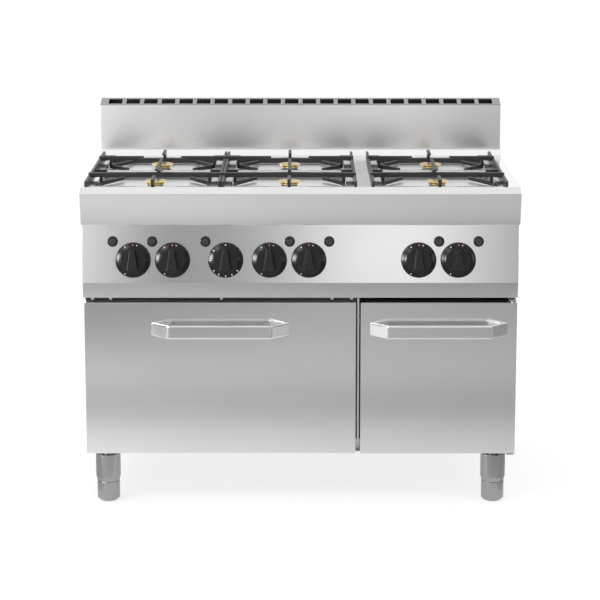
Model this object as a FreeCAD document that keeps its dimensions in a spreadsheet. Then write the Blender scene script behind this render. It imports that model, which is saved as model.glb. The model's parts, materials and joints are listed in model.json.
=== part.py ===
"""Freestanding commercial gas range: six open burners over a gas oven and a storage cupboard.

X runs left to right, Y from the front to the back and Z up. The origin is on the floor, under the
middle of the range. Depths are given from the foremost line of the worktop's front lip.
"""
import FreeCAD, Part
import os
import Sketcher

SIZES = {
    # overall
    "width": 1200, "depth": 700, "top_height": 900, "handle_reach": 20, "sheet": 2, "overcut": 5,
    # worktop: front lip, side skirts, rear upstand and ledge
    "lip_bevel_depth": 24, "lip_bevel_drop": 15, "lip_lean": 18, "lip_drop": 104, "lip_end_depth": 60,
    "skirt_drop": 40, "upstand_back": 92, "upstand_lean": 12, "ledge_rise": 17,
    # hob layout: margins between grates, wells and burners
    "grate_left_margin": 10.5, "grate_right_margin": 33.5, "grate_gap": 2, "grate_wide_gap": 41,
    "well_side_inset": 28.5, "well_front": 40, "well_rear_back": 122, "bridge": 24, "well_drop": 20,
    "exhaust_front": 8, "exhaust_back": 12,
    "burner_front_set": 118, "burner_rear_set": 108, "burner_hole_radius": 25,
    # burners
    "neck_radius": 22, "cup_radius": 30, "cup_depth": 34, "cap_radius": 32.5, "cap_foot_radius": 25,
    "cap_seat": 6, "cap_height": 11, "cap_foot_bevel": 2, "cap_groove_low": 3.5, "cap_groove_high": 5,
    "cap_groove_deep": 4, "cap_brim": 1, "cap_brim_tall": 1.8, "cap_edge": 1.5, "cap_dome": 1.2,
    "cup_draft": 6, "cup_draft_tall": 10,
    # grates
    "rail_thick": 7, "rail_tall": 14, "finger_top": 19, "finger_thick": 11, "finger_root": 14,
    "finger_tip": 5, "finger_reach": 55, "centre_thick": 9, "centre_root": 13, "crossbar_thick": 7,
    "crossbar_rise": 3, "crossbar_clear": 2, "crossbar_drop": 3, "strap_tall": 6, "arm_thick": 8,
    "arm_root": 12, "arm_tip": 8, "arm_reach_x": 56, "arm_reach_y": 76, "grate_front": 33,
    "grate_back": 100, "front_tip": 109, "middle_tip": 38, "rear_tip": 50,
    # control panel
    "body_inset": 3, "panel_top_set": 24, "panel_foot_set": 12, "panel_height": 160, "trim_height": 43,
    "trim_set": 20, "panel_tuck": 54, "panel_hem": 4, "drill": 40,
    "knob_drop": 97, "knob_space": 12, "right_pair_shift": -3.5, "oven_knob_share": 0.678,
    "igniter_offset": 55.5, "igniter_rise": 51,
    # knobs, spindles and push buttons
    "knob_radius": 48, "knob_gap": 4, "skirt_rim": 5, "skirt_height": 12, "disc_radius": 34,
    "disc_height": 18, "knob_edge": 0.8, "skirt_shoulder": 2, "disc_draft": 2, "grip_root": 2,
    "grip_height": 34.8, "grip_top_half": 8, "grip_foot_half": 17, "grip_top_reach": 33,
    "grip_foot_reach": 27, "grip_draft": 8, "spindle_radius": 4, "bore_clearance": 0.1,
    "spindle_in_knob": 18, "panel_hole_radius": 7, "valve_gap": 14, "valve_deep": 52, "valve_half": 14,
    "spindle_in_valve": 16, "press_travel": 3, "press_room": 1, "rail_radius": 11, "rail_end": 4,
    "rail_behind": 50,
    "bezel_radius": 14.5, "bezel_height": 6, "bezel_edge": 2, "bezel_slope": 1.5,
    "button_radius": 9.2, "button_front": 8.5,
    "button_dimple_radius": 2.2, "button_dimple": 1, "button_back": 6, "igniter_radius": 11.5,
    "igniter_deep": 46, "button_stem_radius": 3, "button_stem_room": 2,
    "button_edge": 1.2, "dimple_slope": 0.6,
    # doors
    "door_gap": 16, "door_set": 27, "door_thick": 40, "door_bottom": 147, "door_side_inset": 4,
    "cupboard_right_inset": 3, "post_right": 443, "post_wide": 5, "post_gap_left": 4, "post_gap_right": 4,
    # handles
    "handle_foot_half": 192.5, "handle_grip_half": 142, "handle_tall": 38, "handle_thick": 12,
    "handle_drop": 55, "handle_foot_thick": 17.5,
    # oven door hinge
    "hinge_set": 14, "hinge_rise": 6, "ear_radius": 7, "ear_thick": 4, "ear_clearance": 1,
    "hinge_pin_radius": 3.5, "hinge_pin_long": 26, "hinge_inset": 56,
    "ear_arm_drop": 2, "ear_arm_rise": 1, "block_wide": 34, "block_tall": 26,
    # cupboard door hinge
    "pivot_inset": 12, "pivot_set": 13, "pivot_radius": 4, "pivot_reach": 17, "bracket_thick": 3,
    "bracket_half": 10, "bracket_back": 10, "bracket_nose": 2,
    # carcass
    "base_bottom": 144, "base_lap": 10, "door_seal": 5, "carcass_back": 20, "base_upstand": 32,
    "side_gap": 8, "inlet_gap": 1, "post_set": 3, "tongue_lap": 5,
    "deck_drop": 1, "tab_wide": 8, "tab_tall": 8, "tab_front": 36, "tab_pitch": 305, "tab_first": 23,
    "tab_side": 50, "tab_last": 12,
    # legs and feet
    "leg_side": 59, "leg_front_set": 76, "leg_back_set": 75, "leg_radius": 35, "leg_wall": 3,
    "leg_shoulder": 136, "leg_neck_radius": 17, "leg_taper_top": 72, "leg_taper_foot": 60,
    "foot_radius": 32, "foot_tall": 57, "foot_chamfer": 8, "foot_stem_radius": 10, "foot_stem_top": 110,
    "foot_seam": 0.5, "leg_lip": 3, "nut_bottom": 62, "nut_top": 74,
    # oven
    "oven_side": 70, "oven_top": 52, "oven_bottom": 48, "oven_deep": 548, "insulation": 30,
    "floor_rise": 45, "floor_plate": 3, "floor_inset": 4, "gasket_wide": 14, "gasket_off": 6,
    "gasket_thick": 4.5, "runner_thick": 3, "runner_ledge": 14, "runner_first": 55, "runner_pitch": 65,
    "rack_post_set": 60, "rack_post_half": 5, "rack_post_over": 25, "shelf_play": 0.2, "shelf_side_play": 1,
    "wire_sink": 1, "burner_foot_half": 20, "burner_foot_half_deep": 6,
    "shelf_bar": 8, "shelf_wire": 2, "shelf_wires": 15, "shelf_front": 18, "shelf_back": 24,
    "oven_burner_radius": 13, "oven_burner_inset": 40, "oven_burner_rise": 22,
    # oven flue and splash back
    "flue_depth": 60, "flue_front_rise": 133, "flue_slope_depth": 48, "flue_slope_rise": 13.5,
    "slot_count": 22, "slot_wide": 40.6, "slot_edge": 7, "slot_side": 24,
    "duct_wide": 160, "duct_deep": 34, "duct_inset": 10, "duct_gap": 3,
    # gas inlet
    "inlet_side": 45, "inlet_out": 19, "inlet_thread_radius": 10.5, "inlet_thread": 17, "elbow_half": 15,
    "pipe_bore": 8,
}

doc = FreeCAD.newDocument("gas_range")
sheet = doc.addObject("Spreadsheet::Sheet", "size")
for row, (alias, value) in enumerate(SIZES.items(), start=1):
    sheet.set(f"A{row}", alias)
    sheet.set(f"B{row}", str(value))
    sheet.setAlias(f"B{row}", alias)
doc.recompute()

SUBPARTS = []


# ---- helpers -------------------------------------------------------------------------------------

def number(expression):
    """The value of an expression of the sheet's aliases."""
    value = sheet.evalExpression(expression)
    return float(getattr(value, "Value", value))


def keep(shape, label):
    """Name a finished sub-part and put it on the list of parts to write."""
    shape.Label = label
    SUBPARTS.append(shape)
    return shape


def at(shape, x="0", y="0", z="0"):
    """Bind an object's position."""
    for axis, expression in zip("xyz", (x, y, z)):
        shape.setExpression(f"Placement.Base.{axis}", expression)
    return shape


def box(name, x, y, z):
    """A box between pairs of low and high limits."""
    made = doc.addObject("Part::Box", name)
    for prop, (low, high) in zip(("Length", "Width", "Height"), (x, y, z)):
        made.setExpression(prop, f"({high}) - ({low})")
    return at(made, x[0], y[0], z[0])


def cylinder(name, radius, start, end, x="0", y="0"):
    """An upright cylinder between two heights."""
    made = doc.addObject("Part::Cylinder", name)
    made.setExpression("Radius", radius)
    made.setExpression("Height", f"({end}) - ({start})")
    return at(made, x, y, start)


def bar_x(name, radius, x, y, z):
    """A round bar lying along X between two limits."""
    made = doc.addObject("Part::Cylinder", name)
    made.setExpression("Radius", radius)
    made.setExpression("Height", f"({x[1]}) - ({x[0]})")
    made.Placement.Rotation = FreeCAD.Rotation(FreeCAD.Vector(0, 1, 0), 90)
    return at(made, x[0], y, z)


def bar_y(name, radius, x, y, z):
    """A round bar lying along Y between two limits."""
    made = doc.addObject("Part::Cylinder", name)
    made.setExpression("Radius", radius)
    made.setExpression("Height", f"({y[1]}) - ({y[0]})")
    made.Placement.Rotation = FreeCAD.Rotation(FreeCAD.Vector(1, 0, 0), -90)
    return at(made, x, y[0], z)


def blade(name, thick, length, root, tip, x, y, z_top, angle):
    """A flat upright blade whose height tapers from root to tip, with a level top edge."""
    made = doc.addObject("Part::Wedge", name)
    limits = {
        "Xmin": f"-{thick} / 2", "Xmax": f"{thick} / 2", "X2min": f"-{thick} / 2", "X2max": f"{thick} / 2",
        "Ymin": "0", "Ymax": length, "Zmax": "0", "Z2max": "0", "Zmin": f"-{root}", "Z2min": f"-{tip}",
    }
    made.Zmin, made.Z2min, made.Zmax, made.Z2max = -20, -10, 0, 0
    made.Xmin, made.X2min, made.Xmax, made.X2max = -5, -5, 5, 5
    for prop, expression in limits.items():
        made.setExpression(prop, expression)
    made.Placement.Rotation = FreeCAD.Rotation(FreeCAD.Vector(0, 0, 1), 45)
    made.setExpression("Placement.Rotation.Angle", angle)
    return at(made, x, y, z_top)


def fuse(name, shapes):
    made = doc.addObject("Part::MultiFuse", name)
    made.Shapes = shapes
    made.Refine = True
    return made


def cut(name, base, *tools):
    made = doc.addObject("Part::Cut", name)
    made.Base = base
    made.Tool = tools[0] if len(tools) == 1 else fuse(name + "_tools", list(tools))
    return made


def group(name, shapes):
    """Several like solids that make one sub-part."""
    made = doc.addObject("Part::Compound", name)
    made.Links = shapes
    return made


def body(name):
    return doc.addObject("PartDesign::Body", name)


def sketch_on(owner, name, plane, start, loops):
    """Closed outlines on one of the body's own origin planes, every corner bound to the sheet."""
    sketch = owner.newObject("Sketcher::SketchObject", name)
    support = next(f for f in owner.Origin.OriginFeatures if f.Role == plane)
    sketch.AttachmentSupport = (support, [""])
    sketch.MapMode = "FlatFace"
    sketch.setExpression("AttachmentOffset.Base.z", start)
    for loop in loops:
        corners = [FreeCAD.Vector(number(u), number(v), 0) for u, v in loop]
        first = sketch.GeometryCount
        for i, corner in enumerate(corners):
            sketch.addGeometry(Part.LineSegment(corner, corners[(i + 1) % len(corners)]), False)
        for i in range(len(corners)):
            following = first + (i + 1) % len(corners)
            sketch.addConstraint(Sketcher.Constraint("Coincident", first + i, 2, following, 1))
        for i, (u, v) in enumerate(loop):
            for kind, expression, value in (("DistanceX", u, corners[i].x), ("DistanceY", v, corners[i].y)):
                made = sketch.addConstraint(Sketcher.Constraint(kind, -1, 1, first + i, 1, value))
                sketch.setExpression(f"Constraints[{made}]", expression)
    return sketch


def pad(owner, name, plane, start, length, loops):
    feature = owner.newObject("PartDesign::Pad", name)
    feature.Profile = sketch_on(owner, name + "_outline", plane, start, loops)
    feature.setExpression("Length", length)
    return feature


def pocket(owner, name, plane, start, length, loops):
    """A cut that runs from its sketch plane along the plane's normal."""
    feature = owner.newObject("PartDesign::Pocket", name)
    feature.Profile = sketch_on(owner, name + "_outline", plane, start, loops)
    feature.Reversed = True
    feature.setExpression("Length", length)
    return feature


def revolve(owner, name, loop):
    """A full turn of an outline of (radius, height) corners about the body's Z axis."""
    feature = owner.newObject("PartDesign::Revolution", name)
    profile = sketch_on(owner, name + "_outline", "XZ_Plane", "0", [loop])
    feature.Profile = profile
    feature.ReferenceAxis = (profile, ["V_Axis"])
    feature.Angle = 360
    return feature


def rectangle(x, y):
    """The corners of a rectangle between two pairs of limits."""
    return [(x[0], y[0]), (x[1], y[0]), (x[1], y[1]), (x[0], y[1])]


def deep(expression):
    """The Y of a depth behind the front lip."""
    return f"((size.handle_reach - size.depth) / 2 + {expression})"


def span(centre, half):
    return (f"{centre} - {half}", f"{centre} + {half}")


# ---- derived places ------------------------------------------------------------------------------

TOP = "size.top_height"
HALF = "size.width / 2"
BODY_HALF = "(size.width / 2 - size.body_inset)"
INNER_HALF = "(size.width / 2 - size.body_inset - size.sheet)"
PANEL_TOP = "(size.top_height - size.lip_drop)"
PANEL_FOOT = "(size.top_height - size.lip_drop - size.panel_height)"
TRIM_FOOT = "(size.top_height - size.lip_drop - size.panel_height - size.trim_height)"
TILT = "atan((size.panel_top_set - size.panel_foot_set) / size.panel_height)"
DOOR_TOP = f"({TRIM_FOOT} - size.door_gap)"
DOOR_BACK = "(size.door_set + size.door_thick)"
CARCASS_FRONT = f"({DOOR_BACK} + size.door_seal)"
OVEN_DOOR_X = ("(-size.width / 2 + size.door_side_inset)",
               "(size.width / 2 - size.post_right - size.post_gap_left)")
CUPBOARD_DOOR_X = ("(size.width / 2 - size.post_right + size.post_wide + size.post_gap_right)",
                   "(size.width / 2 - size.cupboard_right_inset)")
POST_X = ("(size.width / 2 - size.post_right)", "(size.width / 2 - size.post_right + size.post_wide)")
CARCASS_BACK = "(size.depth - size.carcass_back)"

GRATE_WIDE = ("((size.width - size.grate_left_margin - size.grate_right_margin - size.grate_gap"
              " - size.grate_wide_gap) / 3)")
LEFT_COLUMN = f"(-size.width / 2 + size.grate_left_margin + {GRATE_WIDE} / 2)"
MIDDLE_COLUMN = f"({LEFT_COLUMN} + {GRATE_WIDE} + size.grate_gap)"
RIGHT_COLUMN = f"({MIDDLE_COLUMN} + {GRATE_WIDE} + size.grate_wide_gap)"
COLUMNS = {"left": LEFT_COLUMN, "middle": MIDDLE_COLUMN, "right": RIGHT_COLUMN}
WELL_HALF = f"({GRATE_WIDE} / 2 - size.well_side_inset)"
FRONT_ROW = "(size.well_front + size.burner_front_set)"
REAR_ROW = "(size.depth - size.well_rear_back - size.burner_rear_set)"
BRIDGE_FRONT = f"(({FRONT_ROW} + {REAR_ROW} - size.bridge) / 2)"
BRIDGE_BACK = f"(({FRONT_ROW} + {REAR_ROW} + size.bridge) / 2)"
WELL_FLOOR = "(size.top_height - size.well_drop)"
WELLS = {"front": ("size.well_front", BRIDGE_FRONT),
         "rear": (BRIDGE_BACK, "(size.depth - size.well_rear_back)")}
ROWS = {"front": FRONT_ROW, "rear": REAR_ROW}

OVEN_X = (f"({OVEN_DOOR_X[0]} + size.oven_side)", f"({OVEN_DOOR_X[1]} - size.oven_side)")
OVEN_MIDDLE = f"(({OVEN_X[0]} + {OVEN_X[1]}) / 2)"
OVEN_Z = ("(size.door_bottom + size.oven_bottom)", f"({DOOR_TOP} - size.oven_top)")
OVEN_FRONT = f"({CARCASS_FRONT} + size.sheet)"
OVEN_BACK = f"({OVEN_FRONT} + size.oven_deep)"
FLOOR_TOP = f"({OVEN_Z[0]} + size.floor_rise + size.floor_plate)"
DUCT_X = (f"({OVEN_MIDDLE} - size.duct_wide / 2)", f"({OVEN_MIDDLE} + size.duct_wide / 2)")
DUCT_Y = (deep(f"{OVEN_BACK} - size.duct_inset - size.duct_deep"), deep(f"{OVEN_BACK} - size.duct_inset"))


def panel_y(drop):
    """The Y of the sloping control panel's face at a drop below its top edge."""
    lean = "(size.panel_top_set - size.panel_foot_set) / size.panel_height"
    return deep(f"size.panel_top_set - ({drop}) * {lean}")


# ---- worktop -------------------------------------------------------------------------------------

def make_worktop():
    """One pressed sheet: front lip, side skirts, six wells, rear upstand and ledge."""
    top = body("worktop_sheet")
    outside = [
        (deep("0"), f"{TOP} - size.lip_bevel_drop"), (deep("size.lip_bevel_depth"), TOP),
        (deep("size.depth - size.upstand_back"), TOP),
        (deep("size.depth - size.upstand_back + size.upstand_lean"), f"{TOP} + size.ledge_rise"),
        (deep("size.depth"), f"{TOP} + size.ledge_rise"), (deep("size.depth"), f"{TOP} - size.skirt_drop"),
        (deep("size.lip_end_depth"), f"{TOP} - size.skirt_drop"), (deep("size.lip_end_depth"), PANEL_TOP),
        (deep("size.lip_lean"), PANEL_TOP),
    ]
    pad(top, "worktop_block", "YZ_Plane", f"-{HALF}", "size.width", [outside])
    t = "size.sheet"
    below = f"{PANEL_TOP} - size.overcut"
    ledge = f"{TOP} + size.ledge_rise - {t}"
    inside = [
        (deep(t), f"{TOP} - size.lip_bevel_drop - {t} / 4"),
        (deep(f"size.lip_bevel_depth + {t} / 4"), f"{TOP} - {t}"),
        (deep(f"size.depth - size.upstand_back + {t} / 2"), f"{TOP} - {t}"),
        (deep(f"size.depth - size.upstand_back + size.upstand_lean + {t} / 2"), ledge),
        (deep(f"size.depth - {t}"), ledge), (deep(f"size.depth - {t}"), below),
        (deep(f"size.lip_lean + {t}"), below), (deep(f"size.lip_lean + {t}"), PANEL_TOP),
    ]
    pocket(top, "worktop_hollow", "YZ_Plane", f"-{HALF} + {t}", f"size.width - 2 * {t}", [inside])
    outer = [rectangle(span(x, f"({WELL_HALF} + {t})"), (deep(f"{front} - {t}"), deep(f"{back} + {t}")))
             for x in COLUMNS.values() for front, back in WELLS.values()]
    pad(top, "well_trays", "XY_Plane", f"{WELL_FLOOR} - {t}", f"size.well_drop + {t}", outer)
    inner = [rectangle(span(x, WELL_HALF), (deep(front), deep(back)))
             for x in COLUMNS.values() for front, back in WELLS.values()]
    pocket(top, "wells", "XY_Plane", WELL_FLOOR, "2 * size.well_drop", inner)
    exhaust = rectangle(span(OVEN_MIDDLE, "size.duct_wide"),
                        (deep("size.depth - size.flue_depth + size.exhaust_front"),
                         deep("size.depth - size.exhaust_back")))
    pocket(top, "exhaust_hole", "XY_Plane", f"{TOP} + size.ledge_rise - 2 * {t}", f"3 * {t}", [exhaust])
    holes = [cylinder(f"burner_hole_{column}_{row}", "size.burner_hole_radius", f"{WELL_FLOOR} - 2 * {t}",
                      f"{WELL_FLOOR} + {t}", x, deep(y))
             for column, x in COLUMNS.items() for row, y in ROWS.items()]
    keep(cut("worktop_pierced", top, *holes), "worktop")


# ---- burners -------------------------------------------------------------------------------------

def make_burners():
    """Under each well a mixing cup whose neck comes up through the floor, and on it a brass cap."""
    bodies = []
    caps = []
    below = "-size.sheet"
    bottom = f"{below} - size.cup_depth"
    crown = "size.cap_seat + size.cap_height"
    for column, x in COLUMNS.items():
        for row, y in ROWS.items():
            cup = body(f"burner_body_{column}_{row}")
            revolve(cup, f"cup_{column}_{row}", [
                ("0", bottom), ("size.cup_radius - size.cup_draft", bottom),
                ("size.cup_radius", f"{bottom} + size.cup_draft_tall"), ("size.cup_radius", below),
                ("size.neck_radius", below), ("size.neck_radius", "size.cap_seat"), ("0", "size.cap_seat"),
            ])
            bodies.append(at(cup, x, deep(y), WELL_FLOOR))
            cap = body(f"burner_cap_{column}_{row}")
            revolve(cap, f"crown_{column}_{row}", [
                ("0", "size.cap_seat"), ("size.cap_foot_radius - size.cap_foot_bevel", "size.cap_seat"),
                ("size.cap_foot_radius", "size.cap_seat + size.cap_foot_bevel"),
                ("size.cap_foot_radius", "size.cap_seat + size.cap_groove_low"),
                ("size.cap_foot_radius - size.cap_groove_deep", "size.cap_seat + size.cap_groove_low"),
                ("size.cap_foot_radius - size.cap_groove_deep", "size.cap_seat + size.cap_groove_high"),
                ("size.cap_foot_radius", "size.cap_seat + size.cap_groove_high"),
                ("size.cap_radius - size.cap_brim", f"{crown} - size.cap_brim_tall"),
                ("size.cap_radius", f"{crown} - size.cap_brim"),
                ("size.cap_radius - size.cap_edge", crown), ("0", f"{crown} + size.cap_dome"),
            ])
            caps.append(at(cap, x, deep(y), WELL_FLOOR))
    keep(group("burner_bodies_group", bodies), "burner_bodies")
    keep(group("burner_caps_group", caps), "burner_caps")


# ---- grates --------------------------------------------------------------------------------------

CROSSBAR_LOW = f"({WELL_FLOOR} + size.crossbar_rise)"
CROSSBAR_TOP = "(size.top_height - size.crossbar_drop)"
CROSSBARS = {
    "nose": "(size.well_front + size.crossbar_clear)",
    "bridge": f"({BRIDGE_FRONT} - size.crossbar_clear - size.crossbar_thick)",
    "tail": "(size.depth - size.well_rear_back - size.crossbar_clear - size.crossbar_thick)",
}
GRATE_END = "(size.depth - size.grate_back)"


def make_grate(column, x):
    """A cast double grate over a front and a rear burner: rails, fingers, arms and crossbars."""
    half = f"({GRATE_WIDE} / 2)"
    finger_top = f"({TOP} + size.finger_top)"
    arm_half = "size.arm_thick / 2"
    edge = f"({WELL_HALF} - size.crossbar_clear - size.arm_thick / 2)"
    arm_long = "sqrt(size.arm_reach_x * size.arm_reach_x + size.arm_reach_y * size.arm_reach_y)"
    arm_turn = "atan(size.arm_reach_x / size.arm_reach_y)"
    pieces = []
    for side, hand in ((-1, "left"), (1, "right")):
        outer = f"({x} + {side} * {half})"
        inner = f"({x} + {side} * ({half} - size.rail_thick))"
        rail = (outer, inner) if side < 0 else (inner, outer)
        leg = f"({x} + {side} * {edge})"
        pieces.append(box(f"rail_{column}_{hand}", rail, (deep("size.grate_front"), deep(GRATE_END)),
                          (TOP, f"{TOP} + size.rail_tall")))
        for row, y in ROWS.items():
            tag = f"{column}_{row}_{hand}"
            pieces.append(blade(f"finger_{tag}", "size.finger_thick", f"({half} - size.finger_reach)",
                                "size.finger_root", "size.finger_tip", outer, deep(y), finger_top,
                                f"{side} * 90 deg"))
            pieces.append(box(f"root_{tag}", span(leg, arm_half), span(deep(y), arm_half),
                              (CROSSBAR_LOW, f"{finger_top} - size.finger_tip")))
            back_arm = blade(f"back_arm_{tag}", "size.arm_thick", arm_long, "size.arm_root", "size.arm_tip",
                             leg, deep(y), f"{CROSSBAR_LOW} + size.arm_root", f"{side} * {arm_turn}")
            pieces.append(back_arm)
            if row == "front":
                pieces.append(box(f"leg_{tag}", span(leg, arm_half), (deep(CROSSBARS["nose"]), deep(y)),
                                  (CROSSBAR_LOW, f"{CROSSBAR_LOW} + size.arm_root")))
            else:
                pieces.append(blade(f"front_arm_{tag}", "size.arm_thick", arm_long, "size.arm_root",
                                    "size.arm_tip", leg, deep(y), f"{CROSSBAR_LOW} + size.arm_root",
                                    f"180 deg - {side} * {arm_turn}"))
        for name in ("bridge", "tail"):
            y = (deep(CROSSBARS[name]), deep(f"{CROSSBARS[name]} + size.crossbar_thick"))
            pieces.append(box(f"post_{column}_{name}_{hand}", span(leg, arm_half), y,
                              (CROSSBAR_LOW, f"{TOP} + size.strap_tall")))
            strap = (outer, leg) if side < 0 else (leg, outer)
            pieces.append(box(f"strap_{column}_{name}_{hand}", strap, y, (TOP, f"{TOP} + size.strap_tall")))
    tips = {"nose": (None, "size.front_tip"),
            "bridge": (f"({FRONT_ROW} + size.finger_reach)", f"({REAR_ROW} - size.middle_tip)"),
            "tail": (f"({REAR_ROW} + size.rear_tip)", GRATE_END)}
    for name, (forward, backward) in tips.items():
        front = CROSSBARS[name]
        middle = f"({front} + size.crossbar_thick / 2)"
        y = (deep(front), deep(f"{front} + size.crossbar_thick"))
        pieces.append(box(f"crossbar_{column}_{name}", span(x, edge), y, (CROSSBAR_LOW, CROSSBAR_TOP)))
        pieces.append(box(f"web_{column}_{name}", span(x, "size.centre_thick / 2"), y,
                          (CROSSBAR_LOW, finger_top)))
        if forward:
            pieces.append(blade(f"centre_{column}_{name}_front", "size.centre_thick",
                                f"({middle} - {forward})", "size.centre_root", "size.finger_tip",
                                x, deep(middle), finger_top, "180 deg"))
        pieces.append(blade(f"centre_{column}_{name}_back", "size.centre_thick",
                            f"({backward} - {middle})", "size.centre_root", "size.finger_tip",
                            x, deep(middle), finger_top, "0 deg"))
    pieces.append(box(f"centre_{column}_lip", span(x, "size.centre_thick / 2"),
                      (deep("size.grate_front"), deep(CROSSBARS["nose"])),
                      (f"{finger_top} - size.centre_root", finger_top)))
    keep(fuse(f"grate_{column}_casting", pieces), f"grate_{column}")


# ---- control panel, knobs, valves and igniters ---------------------------------------------------

def make_control_panel(knobs):
    """A folded pan: sloping face, set-back lower trim, closed ends, pierced for knobs and buttons."""
    pan = body("control_panel_pan")
    t = "size.sheet"
    tuck = f"{PANEL_TOP} + size.panel_tuck"
    outside = [
        (deep("size.panel_top_set"), PANEL_TOP), (deep("size.panel_foot_set"), PANEL_FOOT),
        (deep("size.trim_set"), TRIM_FOOT), (deep(CARCASS_FRONT), TRIM_FOOT),
        (deep(CARCASS_FRONT), tuck), (deep("size.panel_top_set + size.panel_hem"), tuck),
    ]
    pad(pan, "panel_block", "YZ_Plane", f"-{BODY_HALF}", f"2 * {BODY_HALF}", [outside])
    inside = [
        (deep(f"size.panel_top_set + {t}"), PANEL_TOP), (deep(f"size.panel_foot_set + {t}"), PANEL_FOOT),
        (deep(f"size.trim_set + {t}"), f"{TRIM_FOOT} + {t}"),
        (deep(f"{CARCASS_FRONT} + {t}"), f"{TRIM_FOOT} + {t}"),
        (deep(f"{CARCASS_FRONT} + {t}"), f"{tuck} + {t}"),
        (deep(f"size.panel_top_set + size.panel_hem + {t}"), f"{tuck} + {t}"),
    ]
    pocket(pan, "panel_hollow", "YZ_Plane", f"-{INNER_HALF}", f"2 * {INNER_HALF}", [inside])
    holes = []
    for name, x, igniter_x in knobs:
        hole = cylinder(f"spindle_hole_{name}", "size.panel_hole_radius", "0", "size.drill")
        holes.append(hole)
        place_hole(hole, x, "size.knob_drop")
        hole = cylinder(f"igniter_hole_{name}", "size.igniter_radius + size.bore_clearance", "0",
                        "size.drill")
        holes.append(hole)
        place_hole(hole, igniter_x, "(size.knob_drop - size.igniter_rise)")
    keep(cut("control_panel_pierced", pan, *holes), "control_panel")


def out_of_panel(shape, x, drop, along="0"):
    """Turn an object's Z axis to the control panel's outward normal and move it out along it."""
    shape.Placement.Rotation = FreeCAD.Rotation(FreeCAD.Vector(1, 0, 0), 80)
    shape.setExpression("Placement.Rotation.Angle", f"90 deg - {TILT}")
    return at(shape, x, f"{panel_y(drop)} - ({along}) * cos({TILT})",
              f"{PANEL_TOP} - {drop} + ({along}) * sin({TILT})")


def place_hole(hole, x, drop):
    return out_of_panel(hole, x, drop, "-size.drill / 2")


def make_knob(name, x):
    """A skirted knob with a raised disc and a tapered grip, bored from behind for its spindle."""
    knob = body(f"knob_{name}")
    revolve(knob, f"knob_turning_{name}", [
        ("0", "size.knob_gap"), ("size.knob_radius - size.knob_edge", "size.knob_gap"),
        ("size.knob_radius", "size.knob_gap + size.knob_edge"),
        ("size.knob_radius", "size.knob_gap + size.skirt_rim"),
        ("size.knob_radius - size.skirt_shoulder", "size.knob_gap + size.skirt_rim + size.skirt_shoulder"),
        ("size.disc_radius + size.disc_draft", "size.knob_gap + size.skirt_height"),
        ("size.disc_radius", "size.disc_height"), ("0", "size.disc_height"),
    ])
    grip = pad(knob, f"knob_grip_{name}", "XY_Plane", "size.disc_height - size.grip_root",
               "size.grip_height - size.disc_height + size.grip_root", [[
                   ("-size.grip_foot_half", "-size.grip_foot_reach"),
                   ("size.grip_foot_half", "-size.grip_foot_reach"),
                   ("size.grip_top_half", "size.grip_top_reach"),
                   ("-size.grip_top_half", "size.grip_top_reach")]])
    grip.setExpression("TaperAngle", "-size.grip_draft")
    bore = "(size.spindle_radius + size.bore_clearance)"
    socket = knob.newObject("PartDesign::Pocket", f"knob_bore_{name}")
    outline = knob.newObject("Sketcher::SketchObject", f"knob_bore_{name}_outline")
    outline.AttachmentSupport = (next(f for f in knob.Origin.OriginFeatures if f.Role == "XY_Plane"), [""])
    outline.MapMode = "FlatFace"
    outline.addGeometry(Part.Circle(FreeCAD.Vector(0, 0, 0), FreeCAD.Vector(0, 0, 1), number(bore)), False)
    outline.addConstraint(Sketcher.Constraint("Coincident", 0, 3, -1, 1))
    radius = outline.addConstraint(Sketcher.Constraint("Radius", 0, number(bore)))
    outline.setExpression(f"Constraints[{radius}]", bore)
    socket.Profile = outline
    socket.Reversed = True
    socket.setExpression("Length", "size.knob_gap + size.spindle_in_knob")
    keep(out_of_panel(knob, x, "size.knob_drop"), f"knob_{name}")


def make_spindle(name, x):
    """The tap's spindle: it passes through the panel, from inside the tap to inside the knob."""
    reach = "size.knob_gap + size.spindle_in_knob - size.sheet"
    rod = cylinder(f"spindle_rod_{name}", "size.spindle_radius", "0",
                   f"{reach} + size.sheet + size.valve_gap + size.spindle_in_valve")
    keep(out_of_panel(rod, x, "size.knob_drop", "-size.sheet - size.valve_gap - size.spindle_in_valve"),
         f"spindle_{name}")


def make_valve(name, x):
    """A gas tap clamped round the supply rail, bored for its spindle."""
    block = box(f"valve_block_{name}", span("0", "size.valve_half"), span("0", "size.valve_half"),
                ("0", "size.valve_deep"))
    block.setExpression("Placement.Base.z", "-size.sheet - size.valve_gap - size.valve_deep")
    back = "size.sheet + size.valve_gap"
    bore = cylinder(f"valve_bore_{name}", "size.spindle_radius + size.bore_clearance",
                    f"-({back}) - size.spindle_in_valve - size.press_travel - size.press_room", "0")
    rail = bar_x(f"valve_saddle_{name}", "size.rail_radius + size.bore_clearance",
                 span("0", "(size.valve_half + size.overcut)"), "0",
                 f"-({back}) - size.rail_behind + size.valve_gap")
    return out_of_panel(cut(f"valve_{name}", block, bore, rail), x, "size.knob_drop")


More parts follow.
